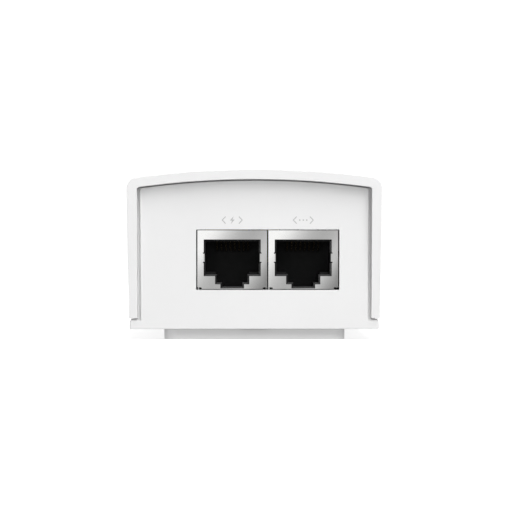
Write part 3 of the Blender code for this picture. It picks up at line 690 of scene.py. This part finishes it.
def window_outline():
    low, _ = node_box("poe_jack_shield")
    _, high = node_box("lan_jack_shield")
    foot, top = jack_foot(), high.z
    width, height = high.x - low.x + 2 * WINDOW_GAP[0], top - foot + 2 * WINDOW_GAP[1]
    return rounded(width, height, 0.12, ((low.x + high.x) / 2, (foot + top) / 2), 3)


def jack_foot():
    """Height of the shields' lower front edge, above which the jack's own frame starts."""
    return node_box("poe_jack_housing")[0].z - 0.05


def side_wall(side, back, foot):
    first, second = sorted((side * SIDE_WALL_FACE, side * (SIDE_WALL_FACE - SIDE_WALL)))
    return box((first, -back - 0.5, foot), (second, back + 0.5, SIDE_WALL_TOP))


def pocket_cover(x, y, foot):
    """A closed box over one hook's pocket."""
    half, wall, top = POCKET_COVER
    front, back = y - HOOK_LENGTH / 2 - TRAVEL - wall, y + HOOK_LENGTH / 2 + wall
    return box((x - half, front, foot), (x + half, back, top))


def make_base(finish):
    low, high = node_box("base_shell")
    inlet_low, inlet_high = node_box("inlet_housing")
    face, back = high.y, high.y - PANEL_WALL
    floor = eased(prism(rounded(2 * high.x, 2 * high.y, FLANGE_CORNER), low.z, FLANGE_TOP, "Z"), CASE_EDGE)
    panels = [end_panel(side, face, low.z + PANEL_SINK) for side in (-1, 1)]
    lip = FLANGE_TOP - FLANGE_SINK
    walls = [side_wall(side, back, lip) for side in (-1, 1)]
    posts = [rod(place, POST_RADIUS, lip, SIDE_WALL_TOP, segments=32) for place in corner_places()]
    feet = [rod(place, POST_FOOT[0], lip, POST_FOOT[1], segments=32) for place in corner_places()]
    standoffs = [rod(place, STANDOFF[0], lip, STANDOFF[1], segments=24) for place in STANDOFF_PLACES]
    covers = [pocket_cover(x, y, lip) for x, y in hook_places()]
    base = joined(floor, *panels, *walls, *posts, *feet, *standoffs, *covers)
    window = prism(window_outline(), -face - 1, -back + 1, "Y")
    middle = (inlet_low.z + inlet_high.z) / 2
    width, height = inlet_high.x - inlet_low.x - 2.6, inlet_high.z - inlet_low.z - 2.6
    inlet = prism(rounded(width, height, 1.2, (0, middle)), back - 1, face + 1, "Y")
    pockets = [tool for x, y in hook_places() for tool in hook_pocket(x, y, low.z)]
    bores = [rod(place, COUNTERBORE, low.z - 1, COUNTERBORE_TOP) for place in corner_places()]
    holes = [rod(place, SCREW_HOLE, low.z - 1, SIDE_WALL_TOP + 1, segments=24) for place in corner_places()]
    near, far, roof = LATCH_GROOVE
    groove = box((*near, low.z - 1), (*far, roof))
    base = cut(base, window, inlet, groove, *bores, *holes, *pockets)
    piece(base, "base_tray", "case", finish, "shell_white", "base_shell")


def make_screws(finish):
    """Pan heads with a cross recess, on plain shanks."""
    for number, (x, y) in enumerate(corner_places(), 1):
        low, high = node_box(f"case_screw_{number}")
        head = COUNTERBORE_TOP - 0.1
        radius, point = SCREW_SHANK
        profile = [(reach, low.z + rise) for reach, rise in SCREW_CROWN]
        profile += [(SCREW_HEAD, head - 0.12), (SCREW_HEAD - 0.08, head), (radius, head), (radius, point)]
        profile.append((0.5, high.z))
        long, wide, deep = CROSS_RECESS
        recess = joined(
            box((-long, -wide, low.z - 1), (long, wide, low.z + deep)),
            box((-wide, -long, low.z - 1), (wide, long, low.z + deep)),
        )
        screw = moved(cut(turned(profile), recess), x, y)
        piece(screw, f"screw_{number}", "case", finish, "screw_zinc", f"case_screw_{number}")


def make_light_window(finish):
    low, high = node_box("light_pipe")
    roof = high.z - ROOF_WALL
    dome = arc((0, high.z - 3.65), 3.6, 66, 87, 6)
    profile = [(1.5, low.z), (1.5, roof - 1.4), (2.4, roof - 1.4), (2.4, roof - 0.4), (1.5, roof - 0.4)]
    profile += [(1.5, high.z - 0.4)] + dome
    pipe = moved(turned(profile), y=(low.y + high.y) / 2)
    piece(pipe, "light_window", "case", finish, "light_pipe_clear", "light_pipe")


def hook(x, y, top):
    """A T-shaped hook, rising from inside the bracket's plate."""
    side = [
        (HOOK_NECK, BRACKET_PLATE - 0.8),
        (HOOK_NECK, HOOK_HEAD_BOTTOM),
        (HOOK_HEAD, HOOK_HEAD_BOTTOM),
        (HOOK_HEAD, top - HOOK_CHAMFER),
        (HOOK_HEAD - HOOK_CHAMFER, top),
    ]
    section = [(x + a, z) for a, z in side] + [(x - a, z) for a, z in side[::-1]]
    return eased(prism(section, y - HOOK_LENGTH / 2, y + HOOK_LENGTH / 2, "Y"), HOOK_EDGE, 2)


def wall_hole(y):
    """Cutters for a countersunk screw hole."""
    (throat, low), (mouth, above) = COUNTERSINK
    cone = loft([(circle((0, y), throat, 48), low), (circle((0, y), mouth, 48), BRACKET_PLATE + above)], "Z")
    return [rod((0, y), WALL_HOLE, -1, BRACKET_PLATE + 1), cone]


def make_bracket(finish):
    _, high = node_box("wall_bracket")
    outline = rounded(2 * high.x, 2 * high.y, BRACKET_CORNER, segments=12)
    plate = eased(prism(outline, 0.0, BRACKET_PLATE, "Z"), CASE_EDGE)
    hooks = [hook(x, y, high.z) for x, y in hook_places()]
    bump = eased(prism(LATCH_BUMP, -LATCH_HALF, LATCH_HALF, "X"), 0.1, 2)
    plate = joined(plate, bump, *hooks)
    holes = [tool for y in WALL_SCREWS for tool in wall_hole(y)]
    bracket = cut(plate, prism(TONGUE_SLOT, -1, BRACKET_PLATE + 2, "Z"), *holes)
    piece(bracket, "bracket_plate", "bracket", finish, "bracket_white", "wall_bracket")


# Jacks


def mouth_outline():
    """The stepped outline that a plug with its latch goes through, with a relief at each spring's ends."""
    rights = []
    for half, floor in MOUTH_STEPS[::-1]:
        if rights:
            rights.append((rights[-1][0], floor))
        rights.append((half, floor))
    reach = MOUTH_STEPS[0][0]
    depth, half = SPRING_RELIEF
    for z in (SPRING_LOW, SPRING_HIGH):
        rights += [(reach, z - half), (reach + depth, z - half), (reach + depth, z + half), (reach, z + half)]
    rights.append((reach, MOUTH_TOP))
    return rights + [(-x, z) for x, z in rights[::-1]]


def spring(side):
    """A grounding spring: a tongue that curls in from the mouth's edge and back towards the shield."""
    reach = MOUTH_STEPS[0][0]
    path = [(reach + x, y) for x, y in SPRING_PATH]
    strip = [(side * x, y) for x, y in thickened(path, SPRING_HALF)]
    return prism(strip, SPRING_LOW + SPRING_INSET, SPRING_HIGH - SPRING_INSET, "Z")


def make_shield(name, finish):
    low, high = node_box(f"{name}_jack_shield")
    centre, foot = (low.x + high.x) / 2, jack_foot()
    half, height, depth = (high.x - low.x) / 2, high.z - foot, high.y - low.y
    wide, tall = SHIELD_NOTCH
    outline = [(-half + wide, 0.0), (half - wide, 0.0), (half - wide, tall), (half, tall), (half, height)]
    outline += [(-half, height), (-half, tall), (-half + wide, tall)]
    body = eased(prism(outline, 0, depth, "Y"), SHEET_EDGE, 3, lambda at: 0.2 < at.z < height - 0.2)
    inside = box((-half + SHEET, SHEET, -1), (half - SHEET, depth - SHEET, height - SHEET))
    mouth = prism(smooth_outline(mouth_outline(), 0.06, 2), -1, SHEET + 1, "Y")
    body = cut(body, inside, mouth)
    tabs = [spring(side) for side in (-1, 1)]
    length, top = SHIELD_TAB
    for side in (-1, 1):
        first, second = sorted((side * half, side * (half - SHEET)))
        tabs += [box((first, y, low.z - foot), (second, y + length, top)) for y in SHIELD_TAB_STARTS]
    body = joined(body, *tabs)
    body.location = Vector((centre, low.y, foot)) * MM
    piece(body, f"{name}_shield_sheet", "case", finish, "shield_nickel", f"{name}_jack_shield")


def make_housing(name, nodes, finish, painted_highlight_finish):
    """The CAD's moulding, with the lower and right-hand lead-in faces behind the shield painted a shade
    greyer: a painted highlight where the light falls on them.
    """
    node = nodes[f"{name}_jack_housing"]
    obj = bpy.data.objects.new("housing", node.data.copy())
    bpy.context.scene.collection.objects.link(obj)
    reach = node_box(f"{name}_jack_housing")[0].y + LEAD_IN
    piece(obj, f"{name}_housing_moulding", "case", finish, "jack_black", f"{name}_jack_housing")
    obj.data.materials.append(painted_highlight_finish)
    # lead-in faces that face up or to the left take the greyer black: a painted highlight chosen by face
    # direction
    for face in obj.data.polygons:
        sloping = -0.9 < face.normal.y < -0.4 and face.center.y / MM < reach
        if sloping and (face.normal.z > 0.4 or face.normal.x < -0.4):
            face.material_index = 1


def wire_solid(path, half, segments=8):
    """A round-cornered wire along a path in the YZ plane."""
    rings = []
    for i, (y, z) in enumerate(path):
        before, after = path[max(i - 1, 0)], path[min(i + 1, len(path) - 1)]
        heading = math.atan2(after[1] - before[1], after[0] - before[0])
        ring = []
        for k in range(segments * 2):
            turn = 2 * math.pi * (k + 0.5) / (segments * 2)
            a = half * math.copysign(abs(math.cos(turn)) ** WIRE_ROUNDING, math.cos(turn))
            b = half * math.copysign(abs(math.sin(turn)) ** WIRE_ROUNDING, math.sin(turn))
            ring.append((a, y - b * math.sin(heading), z + b * math.cos(heading)))
        rings.append(ring)
    return skin(rings)


def make_contacts(name, finish):
    bend_y = node_box(f"{name}_jack_shield")[0].y + CONTACT_BEND[0]
    bend_z = jack_foot() + CONTACT_BEND[1]
    path = arc((bend_y, bend_z), NOSE_RADIUS, 112, 250, 12)
    path += [(bend_y + y, bend_z + z) for y, z in CONTACT_ARM]
    for number in range(1, CONTACTS + 1):
        node = f"{name}_contact_{number}"
        low, high = node_box(node)
        wire = moved(wire_solid(path, WIRE / 2), (low.x + high.x) / 2)
        piece(wire, f"{name}_wire_{number}", f"{name}_contacts", finish, "contact_gold", node)


# Port marks


def mark(name, centre, height, powered, finish):
    """The common sign of a data port: chevrons round three dots or, where power is added, round a bolt."""
    face = node_box("base_shell")[0].y
    depth, rise = CHEVRON
    strokes = []
    for side in (-1, 1):
        inner = side * (MARK_HALF - depth)
        strokes.append(thickened([(inner, rise), (side * MARK_HALF, 0.0), (inner, -rise)], MARK_LINE))
    strokes += [BOLT] if powered else [circle((x, 0), DOT_RADIUS, 16) for x in DOTS]
    for number, outline in enumerate(strokes, 1):
        places = [(centre + x, height + z) for x, z in outline]
        stroke = prism(places, face - MARK_THICKNESS, face + 0.1, "Y")
        piece(stroke, f"{name}_mark_{number}", "case", finish, "shell_white")


def make_marks(finish):
    for name, powered in (("poe", True), ("lan", False)):
        low, high = node_box(f"{name}_jack_shield")
        mark(name, (low.x + high.x) / 2, high.z + MARK_RISE, powered, finish)


# Mains inlet


def make_inlet(finish, pin_finish):
    low, high = node_box("inlet_housing")
    face = node_box("base_shell")[1].y
    middle = (low.z + high.z) / 2
    width, height = high.x - low.x, high.z - low.z
    flange = eased(prism(rounded(width, height, 2.0, (0, middle)), face + 0.15, high.y, "Y"), 0.3)
    body = prism(rounded(width - 3.2, height - 3.2, 1.0, (0, middle)), low.y, face + 0.6, "Y")
    pair, single = PINS["live"][1], PINS["earth"][1]
    spread = PINS["neutral"][0]
    wide = arc((spread, pair), LOBE_RADIUS, -90, 90, 24) + arc((-spread, pair), LOBE_RADIUS, 90, 270, 24)
    tall = arc((0, single), LOBE_RADIUS, 0, 180, 24) + [(-LOBE_RADIUS, pair), (LOBE_RADIUS, pair)]
    cavity = joined(prism(wide, INLET_FLOOR, high.y + 1, "Y"), prism(tall, INLET_FLOOR, high.y + 1, "Y"))
    radius = PIN_RADIUS + PIN_CLEARANCE
    holes = [rod(place, radius, low.y - 1, INLET_FLOOR + 1, "Y") for place in PINS.values()]
    housing = cut(joined(flange, body), cavity, *holes)
    piece(housing, "inlet_moulding", "case", finish, "inlet_black", "inlet_housing")
    for name in PINS:
        make_pin(name, pin_finish)


def make_pin(name, finish):
    """A round pin with a domed end and a soldered tail."""
    x, z = PINS[name]
    low, high = node_box(f"inlet_pin_{name}")
    dome = arc((0, high.y - PIN_RADIUS), PIN_RADIUS, 0, 81, 9)
    rings = [(circle((0, 0), radius, 40), y) for radius, y in [(PIN_RADIUS, low.y)] + dome]
    tail_radius, setback = PIN_TAIL
    tail = rod((0, low.y + setback), tail_radius, low.z - z, 0, segments=24)
    pin = moved(joined(loft(rings, "Y"), tail), x, z=z)
    piece(pin, f"pin_{name}", "case", finish, "pin_nickel", f"inlet_pin_{name}")


# Pieces whose CAD shape stays


def finish_inner_pieces(nodes, finishes):
    """Materials for the nodes that keep their CAD shape."""
    kinds = {
        "black": ("poe_contact_block", "lan_contact_block"),
        "board": ("main_board",),
        "lens": ("status_led",),
        "package": (
            "data_transformer",
            "output_rectifier",
            "switching_transistor",
            "optocoupler",
            "pwm_controller",
            "bridge_rectifier",
        ),
        "can": ("output_capacitor_1", "output_capacitor_2", "bulk_capacitor"),
        "ferrite": ("transformer_core", "output_choke"),
        "tape": ("transformer_winding",),
        "copper": ("common_mode_choke",),
        "sink": ("primary_heat_sink", "secondary_heat_sink"),
        "film": ("x_capacitor",),
        "dipped": ("y_capacitor", "varistor"),
        "fuse": ("fuse",),
        "card": ("insulation_sheet",),
    }
    for finish, names in kinds.items():
        for name in names:
            mesh = nodes[name].data
            mesh.materials.clear()
            mesh.materials.append(finishes[finish])


# Stage


def glowing(name, strength):
    made = Finish(name, 0.7)
    made.plain((0.0, 0.0, 0.0))
    made.shader.inputs["Specular IOR Level"].default_value = 0.0
    made.shader.inputs["Emission Color"].default_value = (1.0, 1.0, 1.0, 1.0)
    made.shader.inputs["Emission Strength"].default_value = strength
    return made.material


def pale_floor():
    """White paper round the object that glows more and more further off, so that no horizon shows."""
    made = Finish("pale_floor", 0.8)
    made.plain((0.8, 0.8, 0.8))
    made.shader.inputs["Specular IOR Level"].default_value = 0.0
    made.shader.inputs["Emission Color"].default_value = (1.0, 1.0, 1.0, 1.0)
    reach = made.tree.nodes.new("ShaderNodeVectorMath")
    reach.operation = "LENGTH"
    made.link(made.coordinates.outputs["Object"], reach.inputs[0])
    glow = made.spread(reach.outputs["Value"], *FLOOR_GLOW, FLOOR_FADE[0] * MM, FLOOR_FADE[1] * MM)
    made.link(glow, made.shader.inputs["Emission Strength"])
    return made.material


def seen_by(obj, camera, diffuse, glossy):
    """Which rays meet a stage object."""
    obj.visible_camera = camera
    obj.visible_diffuse = diffuse
    obj.visible_glossy = glossy
    obj.visible_transmission = camera or diffuse
    obj.visible_volume_scatter = False
    obj.visible_shadow = False


def plane(name, half, z):
    obj = shape([(-half, -half, z), (half, -half, z), (half, half, z), (-half, half, z)], [(0, 1, 2, 3)])
    obj.name = name
    return obj


def make_floor():
    """A pale floor for the camera, one that lights the object from below, and a pale dome behind it all."""
    floor = plane("floor", STAGE_RADIUS, 0.0)
    floor.data.materials.append(pale_floor())
    seen_by(floor, camera=True, diffuse=False, glossy=False)
    bounce = plane("floor_bounce", STAGE_RADIUS, -0.05)
    bounce.data.materials.append(glowing("floor_light", BOUNCE_GLOW))
    seen_by(bounce, camera=False, diffuse=True, glossy=False)
    work = bmesh.new()
    bmesh.ops.create_icosphere(work, subdivisions=4, radius=STAGE_RADIUS * MM)
    mesh = bpy.data.meshes.new("backdrop")
    work.to_mesh(mesh)
    work.free()
    dome = bpy.data.objects.new("backdrop", mesh)
    bpy.context.scene.collection.objects.link(dome)
    mesh.materials.append(glowing("pale_backdrop", BACKDROP_GLOW))
    seen_by(dome, camera=True, diffuse=False, glossy=False)


def make_reflector():
    """A graded card behind the camera that only reflections see. It gives the shields their streaks."""
    half = CARD_HALF
    corners = [(-half, -half), (half, -half), (half, half), (-half, half)]
    card = shape([(x, 0, z) for x, z in corners], [(0, 1, 2, 3)])
    card.name = "graded_card"
    card.location = Vector((0, CARD_Y, CAMERA_HEIGHT)) * MM
    material = bpy.data.materials.new("graded_card")
    material.use_nodes = True
    tree = material.node_tree
    tree.nodes.clear()
    coordinates = tree.nodes.new("ShaderNodeTexCoord")
    across = tree.nodes.new("ShaderNodeVectorMath")
    across.operation = "DOT_PRODUCT"
    across.inputs[1].default_value = CROWN_DIRECTION
    tree.links.new(coordinates.outputs["Object"], across.inputs[0])
    place = tree.nodes.new("ShaderNodeMapRange")
    place.inputs["From Min"].default_value = -CARD_REACH * MM
    place.inputs["From Max"].default_value = CARD_REACH * MM
    tree.links.new(across.outputs["Value"], place.inputs["Value"])
    ramp = tree.nodes.new("ShaderNodeValToRGB")
    while len(ramp.color_ramp.elements) < len(CARD_STOPS):
        ramp.color_ramp.elements.new(0.5)
    for element, (position, level) in zip(ramp.color_ramp.elements, CARD_STOPS):
        element.position = position
        element.color = (level, level, level, 1.0)
    tree.links.new(place.outputs["Result"], ramp.inputs["Fac"])
    glow = tree.nodes.new("ShaderNodeEmission")
    glow.inputs["Strength"].default_value = CARD_GLOW
    tree.links.new(ramp.outputs["Color"], glow.inputs["Color"])
    output = tree.nodes.new("ShaderNodeOutputMaterial")
    tree.links.new(glow.outputs["Emission"], output.inputs["Surface"])
    card.data.materials.append(material)
    seen_by(card, camera=False, diffuse=False, glossy=True)


def make_lip_cards():
    """White cards that only reflections see: they draw the right-hand and lower lips of the openings."""
    for name, (place, glow) in LIP_CARDS.items():
        card = plane(name, LIP_CARD_HALF, 0.0)
        card.location = Vector(place) * MM
        card.rotation_euler = Vector(place).to_track_quat("Z", "Y").to_euler()
        card.data.materials.append(glowing(name, glow))
        seen_by(card, camera=False, diffuse=False, glossy=True)


def area_light(name, at, aim, size, power):
    """A soft light that is never seen or mirrored itself."""
    data = bpy.data.lights.new(name, "AREA")
    data.shape = "RECTANGLE"
    data.size, data.size_y = size[0] * MM, size[1] * MM
    data.energy = power
    light = bpy.data.objects.new(name, data)
    light.location = Vector(at) * MM
    light.rotation_euler = (Vector(at) - Vector(aim)).to_track_quat("Z", "Y").to_euler()
    light.visible_camera = False
    light.visible_glossy = False
    bpy.context.scene.collection.objects.link(light)
    return light


def make_lights():
    world = bpy.data.worlds.new("studio")
    world.use_nodes = True
    tree = world.node_tree
    background = tree.nodes["Background"]
    background.inputs["Color"].default_value = (1.0, 1.0, 1.0, 1.0)
    direction = tree.nodes.new("ShaderNodeTexCoord")
    parts = tree.nodes.new("ShaderNodeSeparateXYZ")
    tree.links.new(direction.outputs["Generated"], parts.inputs["Vector"])
    fade = tree.nodes.new("ShaderNodeMapRange")
    fade.inputs["To Min"].default_value = WORLD_HORIZON
    fade.inputs["To Max"].default_value = WORLD_ZENITH
    tree.links.new(parts.outputs["Z"], fade.inputs["Value"])
    tree.links.new(fade.outputs["Result"], background.inputs["Strength"])
    bpy.context.scene.world = world
    area_light("key", KEY_PLACE, JACK_END, KEY_SIZE, KEY_POWER)
    area_light("front_fill", FRONT_PLACE, JACK_END, FRONT_SIZE, FRONT_POWER)
    area_light("rear_fill", REAR_PLACE, INLET_END, REAR_SIZE, REAR_POWER)


def make_camera():
    rim = node_box("top_cover")[0].y
    data = bpy.data.cameras.new("camera")
    data.sensor_width = SENSOR_WIDTH
    data.lens = SENSOR_WIDTH * CAMERA_DISTANCE / VIEW_WIDTH
    data.clip_start, data.clip_end = CLIP
    camera = bpy.data.objects.new("camera", data)
    camera.location = Vector((CAMERA_SIDE, rim - CAMERA_DISTANCE, CAMERA_HEIGHT)) * MM
    camera.rotation_euler = (math.radians(90), 0, 0)
    bpy.context.scene.collection.objects.link(camera)
    bpy.context.scene.camera = camera


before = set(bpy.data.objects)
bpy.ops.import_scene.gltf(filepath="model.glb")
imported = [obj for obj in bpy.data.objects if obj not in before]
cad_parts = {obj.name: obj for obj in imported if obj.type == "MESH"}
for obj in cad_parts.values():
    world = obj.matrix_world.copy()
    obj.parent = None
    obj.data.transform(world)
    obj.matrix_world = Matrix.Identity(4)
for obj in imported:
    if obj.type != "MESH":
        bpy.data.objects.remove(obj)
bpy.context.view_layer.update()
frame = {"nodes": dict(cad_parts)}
finishes = make_finishes()
make_camera()
make_cover(finishes["cover"])
make_base(finishes["shell"])
make_bracket(finishes["bracket"])
make_screws(finishes["zinc"])
make_light_window(finishes["clear"])
for jack in ("poe", "lan"):
    make_shield(jack, finishes[f"{jack}_shield"])
    make_housing(jack, frame["nodes"], finishes["black"], finishes["lip"])
    make_contacts(jack, finishes["gold"])
make_marks(finishes["print"])
make_inlet(finishes["inlet"], finishes["pin"])
finish_inner_pieces(frame["nodes"], finishes)
make_floor()
make_reflector()
make_lip_cards()
make_lights()
bpy.context.scene.view_settings.view_transform = "Standard"
